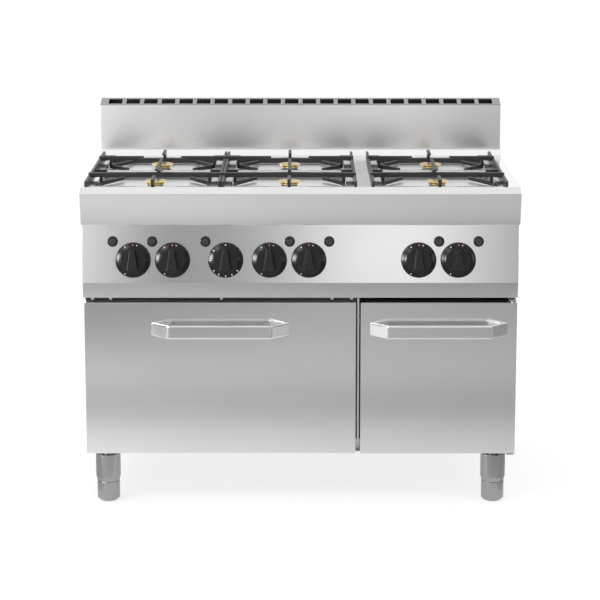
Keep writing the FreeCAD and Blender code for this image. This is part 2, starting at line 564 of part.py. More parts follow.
def make_igniter(name, x):
    """The body of a spark button: a bezel outside the panel and a barrel behind it, bored through."""
    made = body(f"igniter_body_{name}")
    stem = "size.button_stem_radius + size.bore_clearance"
    guide = "size.button_radius + size.bore_clearance"
    bottom = "-size.button_back - size.press_travel - size.press_room"
    revolve(made, f"igniter_turning_{name}", [
        (stem, "-size.igniter_deep"), ("size.igniter_radius - size.bezel_edge", "-size.igniter_deep"),
        ("size.igniter_radius", "-size.igniter_deep + size.bezel_edge"), ("size.igniter_radius", "0"),
        ("size.bezel_radius", "0"), ("size.bezel_radius", "size.bezel_height - size.bezel_edge"),
        ("size.bezel_radius - size.bezel_slope", "size.bezel_height"), (guide, "size.bezel_height"),
        (guide, bottom), (stem, bottom),
    ])
    return out_of_panel(made, x, "(size.knob_drop - size.igniter_rise)")


def make_button(name, x):
    """A spark button with a small dimple in its face and a stem that runs down the barrel."""
    made = body(f"igniter_button_{name}")
    stem_end = "-size.igniter_deep + size.press_travel + size.button_stem_room"
    revolve(made, f"button_turning_{name}", [
        ("0", stem_end), ("size.button_stem_radius", stem_end),
        ("size.button_stem_radius", "-size.button_back"), ("size.button_radius", "-size.button_back"),
        ("size.button_radius", "size.button_front - size.button_edge"),
        ("size.button_radius - size.button_edge", "size.button_front"),
        ("size.button_dimple_radius", "size.button_front"),
        ("size.button_dimple_radius - size.dimple_slope", "size.button_front - size.button_dimple"),
        ("0", "size.button_front - size.button_dimple"),
    ])
    keep(out_of_panel(made, x, "(size.knob_drop - size.igniter_rise)"), f"igniter_button_{name}")


def make_gas_rail():
    """The supply rail behind the panel and its feed, which comes out through the back as the inlet."""
    behind = "(size.sheet + size.rail_behind)"
    rail_y = f"({panel_y('size.knob_drop')} + {behind} * cos({TILT}))"
    rail_z = f"({PANEL_TOP} - size.knob_drop - {behind} * sin({TILT}))"
    feed_x = f"({BODY_HALF} - size.inlet_side)"
    rail_x = (f"-{BODY_HALF} + size.inlet_side", feed_x)
    outlet = f"({CARCASS_BACK} + size.inlet_out)"
    shoulder = f"({outlet} - size.inlet_thread)"
    solids = [
        bar_x("gas_rail_pipe", "size.rail_radius", rail_x, rail_y, rail_z),
        bar_y("gas_feed_pipe", "size.rail_radius", feed_x, (rail_y, deep(shoulder)), rail_z),
        bar_y("gas_inlet_thread", "size.inlet_thread_radius", feed_x,
              (deep(f"{shoulder} - size.overcut"), deep(outlet)), rail_z),
        box("gas_elbow", span(feed_x, "size.elbow_half"), span(rail_y, "size.elbow_half"),
            span(rail_z, "size.elbow_half")),
    ]
    bores = [
        bar_x("gas_rail_bore", "size.pipe_bore", (f"{rail_x[0]} + size.rail_end", feed_x), rail_y, rail_z),
        bar_y("gas_feed_bore", "size.pipe_bore", feed_x, (rail_y, deep(f"{outlet} + size.overcut")), rail_z),
    ]
    keep(cut("gas_supply_bored", fuse("gas_supply", solids), *bores), "gas_manifold")
    return feed_x, rail_z


# ---- doors ---------------------------------------------------------------------------------------

def make_door(name, x, notches, pivots):
    """A door pan of folded sheet and the liner that closes its back."""
    t = "size.sheet"
    pan = box(f"{name}_block", x, (deep("size.door_set"), deep(DOOR_BACK)), ("size.door_bottom", DOOR_TOP))
    hollow = box(f"{name}_hollow", (f"{x[0]} + {t}", f"{x[1]} - {t}"),
                 (deep(f"size.door_set + {t}"), deep(f"{DOOR_BACK} + {t}")),
                 (f"size.door_bottom + {t}", f"{DOOR_TOP} - {t}"))
    keep(cut(f"{name}_pan", pan, hollow, *notches("skin"), *pivots), f"{name}_skin")
    liner = box(f"{name}_liner_sheet", (f"{x[0]} + {t}", f"{x[1]} - {t}"),
                (deep(f"{DOOR_BACK} - {t}"), deep(DOOR_BACK)),
                (f"size.door_bottom + {t}", f"{DOOR_TOP} - {t}"))
    cutters = notches("liner")
    keep(cut(f"{name}_liner_notched", liner, *cutters) if cutters else liner, f"{name}_liner")


def make_handle(name, centre):
    """A bar handle: two sloping arms and a straight grip, in one section."""
    bar = body(f"{name}_handle")
    foot = deep("size.door_set")
    grip_back = deep("size.handle_thick - size.handle_reach")
    arm_run = "(size.handle_foot_half - size.handle_grip_half)"
    inner_half = (f"(size.handle_grip_half + {arm_run} * size.handle_thick"
                  " / (size.door_set + size.handle_reach) - size.handle_foot_thick)")
    pad(bar, f"{name}_handle_bar", "XY_Plane", f"{DOOR_TOP} - size.handle_drop - size.handle_tall",
        "size.handle_tall", [[
            (f"{centre} - size.handle_foot_half", foot),
            (f"{centre} - size.handle_grip_half", deep("-size.handle_reach")),
            (f"{centre} + size.handle_grip_half", deep("-size.handle_reach")),
            (f"{centre} + size.handle_foot_half", foot),
            (f"{centre} + size.handle_foot_half - size.handle_foot_thick", foot),
            (f"{centre} + {inner_half}", grip_back), (f"{centre} - {inner_half}", grip_back),
            (f"{centre} - size.handle_foot_half + size.handle_foot_thick", foot),
        ]])
    keep(bar, f"{name}_handle")


HINGE_Y = "(size.door_set + size.hinge_set)"
HINGE_Z = "(size.door_bottom + size.hinge_rise)"
EAR_X = (f"({OVEN_DOOR_X[0]} + size.hinge_inset)", f"({OVEN_DOOR_X[1]} - size.hinge_inset)")


def ear_slot(name):
    """The clearance that one hinge ear needs as the door turns down round it."""
    reach = "(size.ear_radius + size.ear_clearance)"
    return [box(f"{name}_slot_{i}", span(x, "(size.ear_thick / 2 + size.ear_clearance)"),
                (deep(f"{HINGE_Y} - {reach}"), deep(f"{DOOR_BACK} + 5")),
                ("size.door_bottom - 5", f"{HINGE_Z} + {reach}")) for i, x in enumerate(EAR_X)]


def make_oven_door():
    make_door("oven_door", OVEN_DOOR_X, lambda piece: ear_slot(f"oven_door_{piece}"), [])
    make_handle("oven_door", f"(({OVEN_DOOR_X[0]} + {OVEN_DOOR_X[1]}) / 2)")
    t = "size.sheet"
    core = (f"size.door_set + {t}", f"{DOOR_BACK} - {t}")
    block_top = f"(size.door_bottom + {t} + size.block_tall)"
    keep(box("oven_door_filling", (f"{OVEN_DOOR_X[0]} + 2 * {t}", f"{OVEN_DOOR_X[1]} - 2 * {t}"),
             (deep(core[0]), deep(core[1])), (f"{block_top} + {t}", f"{DOOR_TOP} - 2 * {t}")),
         "oven_door_insulation")
    blocks = []
    for i, x in enumerate(EAR_X):
        block = box(f"hinge_block_{i}", span(x, "size.block_wide / 2"), (deep(core[0]), deep(core[1])),
                    (f"size.door_bottom + {t}", block_top))
        bore = bar_x(f"hinge_bore_{i}", "size.hinge_pin_radius + size.bore_clearance",
                     span(x, "(size.hinge_pin_long / 2 + 1)"), deep(HINGE_Y), HINGE_Z)
        blocks.append(cut(f"hinge_block_bored_{i}", block, bore, ear_slot(f"hinge_block_{i}")[i]))
    keep(group("oven_door_blocks", blocks), "oven_door_hinge_blocks")


PIVOT_X = f"({CUPBOARD_DOOR_X[1]} - size.pivot_inset)"
PIVOT_Y = "(size.door_set + size.pivot_set)"


def make_cupboard_door():
    hole = cylinder("cupboard_pivot_holes", "size.pivot_radius + size.bore_clearance",
                    "size.door_bottom - size.overcut", f"{DOOR_TOP} + size.overcut", PIVOT_X, deep(PIVOT_Y))
    make_door("cupboard_door", CUPBOARD_DOOR_X, lambda piece: [], [hole])
    make_handle("cupboard_door", f"(({CUPBOARD_DOOR_X[0]} + {CUPBOARD_DOOR_X[1]}) / 2)")


def make_hinge_brackets():
    """The fixed halves of the hinges: two eared pins for the oven door, two pivots for the cupboard."""
    brackets = []
    for i, x in enumerate(EAR_X):
        thick = span(x, "size.ear_thick / 2")
        boss = bar_x(f"ear_boss_{i}", "size.ear_radius", thick, deep(HINGE_Y), HINGE_Z)
        arm = box(f"ear_arm_{i}", thick, (deep(HINGE_Y), deep(CARCASS_FRONT)),
                  (f"{HINGE_Z} - size.ear_radius + size.ear_arm_drop",
                   f"{HINGE_Z} + size.ear_radius - size.ear_arm_rise"))
        pin = bar_x(f"ear_pin_{i}", "size.hinge_pin_radius", span(x, "size.hinge_pin_long / 2"),
                    deep(HINGE_Y), HINGE_Z)
        brackets.append(fuse(f"hinge_ear_{i}", [boss, arm, pin]))
    side = span(PIVOT_X, "size.bracket_half")
    deck = f"({TRIM_FOOT} - size.deck_drop - size.sheet)"
    tongue_low = f"({DOOR_TOP} + size.bracket_thick)"
    pivot_y = deep(PIVOT_Y)
    front = deep(f"{PIVOT_Y} - size.bracket_half + size.bracket_nose")
    rear = deep(f"{CARCASS_FRONT} + size.bracket_back")
    upper = fuse("upper_pivot", [
        box("upper_tongue", side, (front, rear), (tongue_low, f"{tongue_low} + size.bracket_thick")),
        box("upper_web", side, (f"{rear} - size.bracket_thick", rear), (tongue_low, deck)),
        cylinder("upper_pin", "size.pivot_radius", f"{DOOR_TOP} - size.pivot_reach", tongue_low,
                 PIVOT_X, pivot_y),
    ])
    lower = fuse("lower_pivot", [
        box("lower_tongue", side, (front, rear),
            ("size.base_bottom - size.bracket_thick", "size.base_bottom")),
        cylinder("lower_pin", "size.pivot_radius", "size.base_bottom - size.bracket_thick",
                 "size.door_bottom + size.pivot_reach", PIVOT_X, pivot_y),
    ])
    keep(group("hinge_bracket_set", brackets + [upper, lower]), "hinge_brackets")


# ---- carcass -------------------------------------------------------------------------------------

def make_carcass(feed_x, feed_z):
    """Side, back and base sheets, the deck under the panel, and the partition with its front post."""
    t = "size.sheet"
    whole = (deep(CARCASS_FRONT), deep(CARCASS_BACK))
    top = f"{TOP} - {t} - size.side_gap"
    base_top = f"size.base_bottom + {t}"
    for hand, x in (("left", (f"-{BODY_HALF}", f"-{INNER_HALF}")), ("right", (INNER_HALF, BODY_HALF))):
        keep(box(f"side_{hand}", x, whole, (base_top, top)), f"side_panel_{hand}")
    back = box("back_sheet", (f"-{INNER_HALF}", INNER_HALF),
               (deep(f"{CARCASS_BACK} - {t}"), deep(CARCASS_BACK)), (base_top, top))
    inlet_hole = bar_y("inlet_hole", "size.rail_radius + size.inlet_gap", feed_x,
                       (deep(f"{CARCASS_BACK} - {t} - size.overcut"), deep(f"{CARCASS_BACK} + size.overcut")),
                       feed_z)
    keep(cut("back_sheet_pierced", back, inlet_hole), "back_panel")
    plate = box("base_plate", (f"-{BODY_HALF}", BODY_HALF),
                (deep(f"{DOOR_BACK} - size.base_lap"), deep(CARCASS_BACK)), ("size.base_bottom", base_top))
    sill = box("base_sill", (f"-{INNER_HALF}", INNER_HALF),
               (deep(CARCASS_FRONT), deep(f"{CARCASS_FRONT} + {t}")),
               (base_top, f"{base_top} + size.base_upstand"))
    keep(fuse("base_welded", [plate, sill]), "base_panel")
    deck_z = (f"{TRIM_FOOT} - size.deck_drop - {t}", f"{TRIM_FOOT} - size.deck_drop")
    deck = [box("deck_sheet", (f"-{INNER_HALF}", INNER_HALF),
                (deep(CARCASS_FRONT), deep(f"{CARCASS_BACK} - {t}")), deck_z)]
    outer_tab = f"({OVEN_DOOR_X[0]} + size.tab_first)"
    tabs = [outer_tab, f"({outer_tab} + size.tab_side)", f"({outer_tab} + size.tab_side + size.tab_pitch)",
            f"({outer_tab} + size.tab_side + 2 * size.tab_pitch)",
            f"({OVEN_DOOR_X[1]} - size.tab_last)"]
    for i, x in enumerate(tabs):
        wide = span(x, "size.tab_wide / 2")
        deck.append(box(f"deck_tongue_{i}", wide,
                        (deep("size.tab_front"), deep(f"{CARCASS_FRONT} + size.tongue_lap")), deck_z))
        deck.append(box(f"deck_tab_{i}", wide, (deep("size.tab_front"), deep(f"size.tab_front + {t}")),
                        (f"{deck_z[1]} - size.tab_tall", deck_z[1])))
    duct_hole = box("deck_duct_hole", (f"{DUCT_X[0]} - size.duct_gap", f"{DUCT_X[1]} + size.duct_gap"),
                    (f"{DUCT_Y[0]} - size.duct_gap", f"{DUCT_Y[1]} + size.duct_gap"),
                    (f"{deck_z[0]} - size.overcut", f"{deck_z[1]} + size.overcut"))
    keep(cut("deck", fuse("deck_with_tabs", deck), duct_hole), "mid_deck")
    post = box("front_post", POST_X, (deep("size.door_set + size.post_set"), deep(f"{CARCASS_FRONT} + {t}")),
               (f"{base_top} + size.base_upstand", deck_z[0]))
    wall = box("partition_sheet", (POST_X[0], f"{POST_X[0]} + {t}"),
               (deep(f"{CARCASS_FRONT} + {t}"), deep(f"{CARCASS_BACK} - {t}")), (base_top, deck_z[0]))
    keep(fuse("partition", [post, wall]), "centre_partition")


def make_legs():
    """Leg tubes under the base, each with a screw-adjusted foot inside it."""
    tubes = []
    places = {"front_left": (-1, "size.leg_front_set"), "front_right": (1, "size.leg_front_set"),
              "back_left": (-1, "(size.depth - size.leg_back_set)"),
              "back_right": (1, "(size.depth - size.leg_back_set)")}
    for name, (side, y) in places.items():
        x = f"{side} * (size.width / 2 - size.leg_side)"
        inner = "(size.leg_radius - size.leg_wall)"
        stem = "(size.foot_stem_radius + size.bore_clearance)"
        ceiling = "size.leg_shoulder - size.leg_wall"
        seam = "size.foot_tall + size.foot_seam"
        tube = body(f"leg_{name}")
        revolve(tube, f"leg_turning_{name}", [
            ("0", "size.base_bottom"), ("0", ceiling), (inner, ceiling),
            (inner, "size.nut_top"), (stem, "size.nut_top"), (stem, "size.nut_bottom"),
            (inner, "size.nut_bottom"), (f"{inner} - size.leg_lip", seam), ("size.foot_radius", seam),
            ("size.foot_radius", "size.leg_taper_foot"), ("size.leg_radius", "size.leg_taper_top"),
            ("size.leg_radius", "size.leg_shoulder"), ("size.leg_neck_radius", "size.leg_shoulder"),
            ("size.leg_neck_radius", "size.base_bottom"),
        ])
        tubes.append(at(tube, x, deep(y)))
        foot = body(f"foot_{name}")
        revolve(foot, f"foot_turning_{name}", [
            ("0", "0"), ("size.foot_radius - size.foot_chamfer", "0"),
            ("size.foot_radius", "size.foot_chamfer"),
            ("size.foot_radius", "size.foot_tall"), ("size.foot_stem_radius", "size.foot_tall"),
            ("size.foot_stem_radius", "size.foot_stem_top"), ("0", "size.foot_stem_top"),
        ])
        keep(at(foot, x, deep(y)), f"foot_{name}")
    keep(group("leg_set", tubes), "leg_tubes")


# ---- oven ----------------------------------------------------------------------------------------

def around(name, grow, front, back, z_grow=None):
    """A box round the oven cavity, larger by an allowance on every side."""
    return box(name, (f"{OVEN_X[0]} - {grow}", f"{OVEN_X[1]} + {grow}"), (deep(front), deep(back)),
               (f"{OVEN_Z[0]} - {z_grow or grow}", f"{OVEN_Z[1]} + {z_grow or grow}"))


def make_oven():
    """The enamelled liner with its front flange and flue neck, insulation, floor, racks and shelf."""
    t = "size.sheet"
    duct_top = f"{TOP} - size.skirt_drop"
    base_top = f"size.base_bottom + {t}"
    flange = box("oven_flange", (f"-{INNER_HALF}", POST_X[0]),
                 (deep(CARCASS_FRONT), deep(OVEN_FRONT)),
                 (f"{base_top} + size.base_upstand", f"{TRIM_FOOT} - size.deck_drop - {t}"))
    shell = around("oven_shell", t, OVEN_FRONT, f"{OVEN_BACK} + {t}")
    neck = box("oven_neck", DUCT_X, DUCT_Y, (OVEN_Z[1], duct_top))
    cavity = around("oven_cavity", "0", f"{CARCASS_FRONT} - size.overcut", OVEN_BACK)
    bore = box("oven_neck_bore", (f"{DUCT_X[0]} + {t}", f"{DUCT_X[1]} - {t}"),
               (f"{DUCT_Y[0]} + {t}", f"{DUCT_Y[1]} - {t}"),
               (f"{OVEN_Z[1]} - size.overcut", f"{duct_top} + size.overcut"))
    keep(cut("oven_liner_open", fuse("oven_liner_welded", [flange, shell, neck]), cavity, bore), "oven_liner")
    blanket = around("insulation_block", f"({t} + size.insulation)", OVEN_FRONT,
                     f"{OVEN_BACK} + {t} + size.insulation")
    blanket_hole = around("insulation_hole", t, f"{OVEN_FRONT} - size.overcut", f"{OVEN_BACK} + {t}")
    neck_hole = box("insulation_neck_hole", DUCT_X, DUCT_Y, (f"{OVEN_Z[1]} - size.overcut", TRIM_FOOT))
    keep(cut("insulation_fitted", blanket, blanket_hole, neck_hole), "oven_insulation")
    gasket_in = "size.gasket_off"
    seal = around("gasket_block", f"({gasket_in} + size.gasket_wide)",
                  f"{CARCASS_FRONT} - size.gasket_thick", CARCASS_FRONT)
    seal_hole = around("gasket_hole", gasket_in, f"{CARCASS_FRONT} - size.gasket_thick - size.overcut",
                       f"{CARCASS_FRONT} + size.overcut")
    keep(cut("gasket_ring", seal, seal_hole), "oven_gasket")
    floor_x = (f"{OVEN_X[0]} + size.floor_inset", f"{OVEN_X[1]} - size.floor_inset")
    floor_y = (deep(f"{OVEN_FRONT} + size.floor_inset"), deep(f"{OVEN_BACK} - size.floor_inset"))
    plate = box("floor_block", floor_x, floor_y, (OVEN_Z[0], FLOOR_TOP))
    under = box("floor_hollow", (f"{floor_x[0]} + size.floor_plate", f"{floor_x[1]} - size.floor_plate"),
                (f"{floor_y[0]} - size.overcut", f"{floor_y[1]} + size.overcut"),
                (f"{OVEN_Z[0]} - size.overcut", f"{FLOOR_TOP} - size.floor_plate"))
    keep(cut("floor_folded", plate, under), "oven_floor_plate")
    racks = []
    for side, wall in (("left", OVEN_X[0]), ("right", OVEN_X[1])):
        ledge_x, post_x = (
            (wall, f"{wall} + {out}") if side == "left" else (f"{wall} - {out}", wall)
            for out in ("size.runner_ledge", "size.runner_thick"))
        pieces = []
        for i in range(3):
            ledge = f"({FLOOR_TOP} + size.runner_first + {i} * size.runner_pitch)"
            pieces.append(box(f"ledge_{side}_{i}", ledge_x, floor_y, (ledge, f"{ledge} + size.runner_thick")))
        rack_top = f"{FLOOR_TOP} + size.runner_first + 2 * size.runner_pitch + size.rack_post_over"
        for i, y in enumerate((f"{floor_y[0]} + size.rack_post_set", f"{floor_y[1]} - size.rack_post_set")):
            pieces.append(box(f"upright_{side}_{i}", post_x, span(y, "size.rack_post_half"),
                              (FLOOR_TOP, rack_top)))
        racks.append(fuse(f"rack_{side}", pieces))
    keep(group("rack_pair", racks), "oven_runners")
    make_shelf()
    burner = bar_y("burner_tube", "size.oven_burner_radius", OVEN_MIDDLE,
                   (deep(f"{OVEN_FRONT} + size.oven_burner_inset"),
                    deep(f"{OVEN_BACK} - size.oven_burner_inset")),
                   f"{OVEN_Z[0]} + size.oven_burner_rise")
    feet = [box(f"burner_foot_{i}", span(OVEN_MIDDLE, "size.burner_foot_half"),
                span(y, "size.burner_foot_half_deep"),
                (OVEN_Z[0], f"{OVEN_Z[0]} + size.oven_burner_rise"))
            for i, y in enumerate((deep(f"{OVEN_FRONT} + 2 * size.oven_burner_inset"),
                                   deep(f"{OVEN_BACK} - 2 * size.oven_burner_inset")))]
    keep(fuse("burner_with_feet", [burner] + feet), "oven_burner")


def make_shelf():
    """A wire shelf on the middle pair of runners: a square bar frame with round cross wires."""
    low = f"({FLOOR_TOP} + size.runner_first + size.runner_pitch + size.runner_thick + size.shelf_play)"
    high = f"({low} + size.shelf_bar)"
    play = "size.shelf_side_play"
    x = (f"({OVEN_X[0]} + size.runner_thick + {play})", f"({OVEN_X[1]} - size.runner_thick - {play})")
    y = (deep(f"{OVEN_FRONT} + size.shelf_front"), deep(f"{OVEN_BACK} - size.shelf_back"))
    b = "size.shelf_bar"
    pieces = [box("shelf_left", (x[0], f"{x[0]} + {b}"), y, (low, high)),
              box("shelf_right", (f"{x[1]} - {b}", x[1]), y, (low, high)),
              box("shelf_front", x, (y[0], f"{y[0]} + {b}"), (low, high)),
              box("shelf_back", x, (f"{y[1]} - {b}", y[1]), (low, high))]
    wires = int(SIZES["shelf_wires"])
    for i in range(wires):
        wire_x = f"({x[0]} + ({x[1]} - {x[0]}) * {i + 1} / {wires + 1})"
        pieces.append(bar_y(f"shelf_wire_{i}", "size.shelf_wire", wire_x,
                            (f"{y[0]} + {b} / 2", f"{y[1]} - {b} / 2"),
                            f"{high} - size.shelf_wire - size.wire_sink"))
    keep(fuse("shelf_welded", pieces), "oven_shelf")


# ---- flue and splash back ------------------------------------------------------------------------

def make_flue():
    """The splash back box and the slotted, forward-sloping cover that lets the oven's gases out."""
    t = "size.sheet"
    foot = f"({TOP} + size.ledge_rise)"
    front = deep("size.depth - size.flue_depth")
    back = deep("size.depth")
    crest = deep("size.depth - size.flue_depth + size.flue_slope_depth")
    front_top = f"({foot} + size.flue_front_rise)"
    crest_top = f"({front_top} + size.flue_slope_rise)"
    tube = body("flue_box")
    pad(tube, "flue_block", "YZ_Plane", f"-{HALF}", "size.width", [[
        (front, foot), (front, f"{front_top} - {t}"), (crest, f"{crest_top} - {t}"),
        (back, f"{crest_top} - {t}"), (back, foot)]])
    pocket(tube, "flue_hollow", "XY_Plane", f"{foot} - size.overcut",
           "size.flue_front_rise + size.flue_depth",
           [rectangle((f"-{HALF} + {t}", f"{HALF} - {t}"), (f"{front} + {t}", f"{back} - {t}"))])
    keep(tube, "flue_box")
    cover = body("flue_grille")
    pad(cover, "cover_sheet", "YZ_Plane", f"-{HALF}", "size.width", [[
        (front, f"{front_top} - {t}"), (front, front_top), (crest, crest_top), (back, crest_top),
        (back, f"{crest_top} - {t}"), (crest, f"{crest_top} - {t}")]])
    pitch = "((size.width - 2 * size.slot_side - size.slot_wide) / (size.slot_count - 1))"
    first = (f"-{HALF} + size.slot_side", f"-{HALF} + size.slot_side + size.slot_wide")
    slot = pocket(cover, "cover_slot", "XY_Plane", foot, "size.flue_front_rise + size.flue_depth",
                  [rectangle(first, (f"{front} + size.slot_edge", f"{crest} - size.slot_edge / 2"))])
    doc.recompute()
    slots = cover.newObject("PartDesign::LinearPattern", "cover_slots")
    slots.Originals = [slot]
    slots.Direction = (next(f for f in cover.Origin.OriginFeatures if f.Role == "X_Axis"), [""])
    slots.setExpression("Length", f"{pitch} * (size.slot_count - 1)")
    slots.setExpression("Occurrences", "size.slot_count")
    cover.Tip = slots
    keep(cover, "flue_grille")


# ---- the whole range -----------------------------------------------------------------------------

def place_controls():
    """Each control's name, its knob's X and its spark button's X."""
    half = "(size.knob_radius + size.knob_space / 2)"
    wide = "2 * size.knob_radius"
    left = (f"({LEFT_COLUMN} - {half})", f"({LEFT_COLUMN} + {half})")
    middle = (f"({MIDDLE_COLUMN} - {half})", f"({MIDDLE_COLUMN} + {half})")
    right = tuple(f"({RIGHT_COLUMN} + size.right_pair_shift + {sign} * {half})" for sign in (-1, 1))
    oven = f"({left[1]} + {wide} + ({middle[0]} - {left[1]} - 2 * {wide}) * size.oven_knob_share)"
    places = [("left_a", left[0], -1), ("left_b", left[1], -1), ("oven", oven, -1),
              ("middle_a", middle[0], 1), ("middle_b", middle[1], 1),
              ("right_a", right[0], 1), ("right_b", right[1], 1)]
    return [(name, x, f"({x} + {side} * size.igniter_offset)") for name, x, side in places]


def write_parts():
    doc.recompute()
    for made in doc.Objects:
        if "Invalid" in made.State or "Error" in made.State:
            raise RuntimeError(f"{made.Name} did not recompute: {made.State}")
    for made in SUBPARTS:
        if made.Shape.isNull() or not made.Shape.isValid():
            raise RuntimeError(f"{made.Label} has no valid shape")
    os.makedirs("parts", exist_ok=True)
    for made in SUBPARTS:
        made.Shape.exportStep(f"parts/{made.Label}.step")
        print(made.Label, len(made.Shape.Solids), "solids", round(made.Shape.Volume / 1000), "cm3")


controls = place_controls()
make_worktop()
make_burners()
for column, x in COLUMNS.items():
    make_grate(column, x)
make_control_panel(controls)
valves = []
igniters = []
for name, knob_x, button_x in controls:
    make_knob(name, knob_x)
    make_spindle(name, knob_x)
    make_button(name, button_x)
    valves.append(make_valve(name, knob_x))
    igniters.append(make_igniter(name, button_x))
keep(group("valve_set", valves), "gas_valves")
keep(group("igniter_set", igniters), "igniter_bodies")
feed_x, feed_z = make_gas_rail()
make_oven_door()
make_cupboard_door()
make_hinge_brackets()
make_carcass(feed_x, feed_z)
make_legs()
make_oven()
make_flue()
write_parts()
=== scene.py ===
import json
import math
import bmesh
import bpy
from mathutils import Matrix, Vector

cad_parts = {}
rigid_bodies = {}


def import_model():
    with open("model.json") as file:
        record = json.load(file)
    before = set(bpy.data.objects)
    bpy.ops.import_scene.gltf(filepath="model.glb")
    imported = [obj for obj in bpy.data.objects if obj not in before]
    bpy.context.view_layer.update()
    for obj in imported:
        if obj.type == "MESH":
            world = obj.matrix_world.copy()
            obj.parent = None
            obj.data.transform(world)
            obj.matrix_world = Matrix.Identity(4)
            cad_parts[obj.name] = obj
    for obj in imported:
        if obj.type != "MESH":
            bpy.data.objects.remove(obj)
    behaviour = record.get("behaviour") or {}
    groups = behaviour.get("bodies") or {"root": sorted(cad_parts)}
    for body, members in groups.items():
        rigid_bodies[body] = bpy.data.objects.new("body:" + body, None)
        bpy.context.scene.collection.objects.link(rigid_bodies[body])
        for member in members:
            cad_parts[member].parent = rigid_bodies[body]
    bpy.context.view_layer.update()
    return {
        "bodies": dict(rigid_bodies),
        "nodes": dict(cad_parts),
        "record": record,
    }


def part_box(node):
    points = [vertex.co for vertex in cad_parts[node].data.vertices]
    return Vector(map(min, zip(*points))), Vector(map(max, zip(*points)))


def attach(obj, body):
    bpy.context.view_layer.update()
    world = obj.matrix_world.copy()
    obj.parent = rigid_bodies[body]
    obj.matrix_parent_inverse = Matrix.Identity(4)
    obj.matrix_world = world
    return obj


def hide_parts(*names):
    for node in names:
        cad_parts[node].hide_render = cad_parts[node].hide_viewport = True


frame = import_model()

joints = {joint["name"]: joint for joint in frame["record"]["behaviour"]["joints"]}

# ---- worktop ----
# One pressed sheet of stainless steel, 2 mm thick, with six wells and a folded front lip.
# It is polished, the floors of the wells are rougher and painted paler as a painted highlight, and its
# edges are lightly rounded.

weld_gap = 0.00001
flat_angle = math.radians(0.5)
fold_angle = math.radians(30)

def softened(node, body, finish, radius, segments=3, split=False):
    """A merged copy of a CAD node with rounded edges, which stands for it.

    Where split is true its many-sided faces are cut into triangles before the edges are rounded.
    """
    mesh = frame["nodes"][node].data.copy()
    mesh.name = node + "_finished"
    shape = bmesh.new()
    shape.from_mesh(mesh)
    bmesh.ops.remove_doubles(shape, verts=shape.verts, dist=weld_gap)
    bmesh.ops.dissolve_limit(shape, angle_limit=flat_angle, verts=shape.verts, edges=shape.edges)
    if split:
        bmesh.ops.triangulate(shape, faces=[face for face in shape.faces if len(face.verts) > 4])
    shape.to_mesh(mesh)
    shape.free()
    mesh.materials.clear()
    mesh.materials.append(finish)
    mesh.shade_smooth()
    mesh.set_sharp_from_angle(angle=fold_angle)
    piece = bpy.data.objects.new(node + "_finished", mesh)
    bpy.context.scene.collection.objects.link(piece)
    if radius:
        edges = piece.modifiers.new("rounded edges", "BEVEL")
        edges.width = radius
        edges.segments = segments
        edges.limit_method = "ANGLE"
        edges.angle_limit = fold_angle
        edges.use_clamp_overlap = not split
        shading = piece.modifiers.new("even shading", "WEIGHTED_NORMAL")
        shading.keep_sharp = True
    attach(piece, body)
    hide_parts(node)
    return piece


def rolled_grain_group():
    """The fine parallel grain of satin sheet, with broad soft smudges: roughness, height and shade."""
    group = bpy.data.node_groups.new("rolled_grain", "ShaderNodeTree")
    for name, value in (("Along", 6.0), ("Across", 1400.0), ("Roughness", 0.3), ("Streak", 0.08),
                        ("Smudge", 0.05), ("Upright", 0.0)):
        socket = group.interface.new_socket(name, in_out="INPUT", socket_type="NodeSocketFloat")
        socket.default_value = value
    for name in ("Roughness", "Height", "Shade"):
        group.interface.new_socket(name, in_out="OUTPUT", socket_type="NodeSocketFloat")
    nodes, links = group.nodes, group.links
    given, result = nodes.new("NodeGroupInput"), nodes.new("NodeGroupOutput")
    place = nodes.new("ShaderNodeTexCoord")

    def maths(kind, first, second):
        step = nodes.new("ShaderNodeMath")
        step.operation = kind
        for socket, value in zip(step.inputs, (first, second)):
            if isinstance(value, (int, float)):
                socket.default_value = value
            else:
                links.new(value, socket)
        return step.outputs[0]

    level = nodes.new("ShaderNodeMix")
    level.data_type = "FLOAT"
    upright = nodes.new("ShaderNodeMix")
    upright.data_type = "FLOAT"
    for blend, first, second in ((level, "Along", "Across"), (upright, "Across", "Along")):
        links.new(given.outputs["Upright"], blend.inputs[0])
        links.new(given.outputs[first], blend.inputs[2])
        links.new(given.outputs[second], blend.inputs[3])
    scale = nodes.new("ShaderNodeCombineXYZ")
    links.new(level.outputs[0], scale.inputs["X"])
    links.new(given.outputs["Across"], scale.inputs["Y"])
    links.new(upright.outputs[0], scale.inputs["Z"])
    stretched = nodes.new("ShaderNodeVectorMath")
    stretched.operation = "MULTIPLY"
    links.new(place.outputs["Object"], stretched.inputs[0])
    links.new(scale.outputs[0], stretched.inputs[1])
    lines = nodes.new("ShaderNodeTexNoise")
    lines.inputs["Scale"].default_value = 1.0
    lines.inputs["Detail"].default_value = 3.0
    links.new(stretched.outputs[0], lines.inputs["Vector"])
    clouds = nodes.new("ShaderNodeTexNoise")
    clouds.inputs["Scale"].default_value = 5.0
    clouds.inputs["Detail"].default_value = 2.0
    links.new(place.outputs["Object"], clouds.inputs["Vector"])
    streak = maths("MULTIPLY", maths("SUBTRACT", lines.outputs["Fac"], 0.5), given.outputs["Streak"])
    smudge = maths("MULTIPLY", maths("SUBTRACT", clouds.outputs["Fac"], 0.5), given.outputs["Smudge"])
    rough = maths("ADD", maths("ADD", given.outputs["Roughness"], streak), smudge)
    links.new(rough, result.inputs["Roughness"])
    links.new(lines.outputs["Fac"], result.inputs["Height"])
    links.new(maths("SUBTRACT", 1.0, maths("ADD", streak, smudge)), result.inputs["Shade"])
    return group


grain = rolled_grain_group()
grain_depth = 0.00002


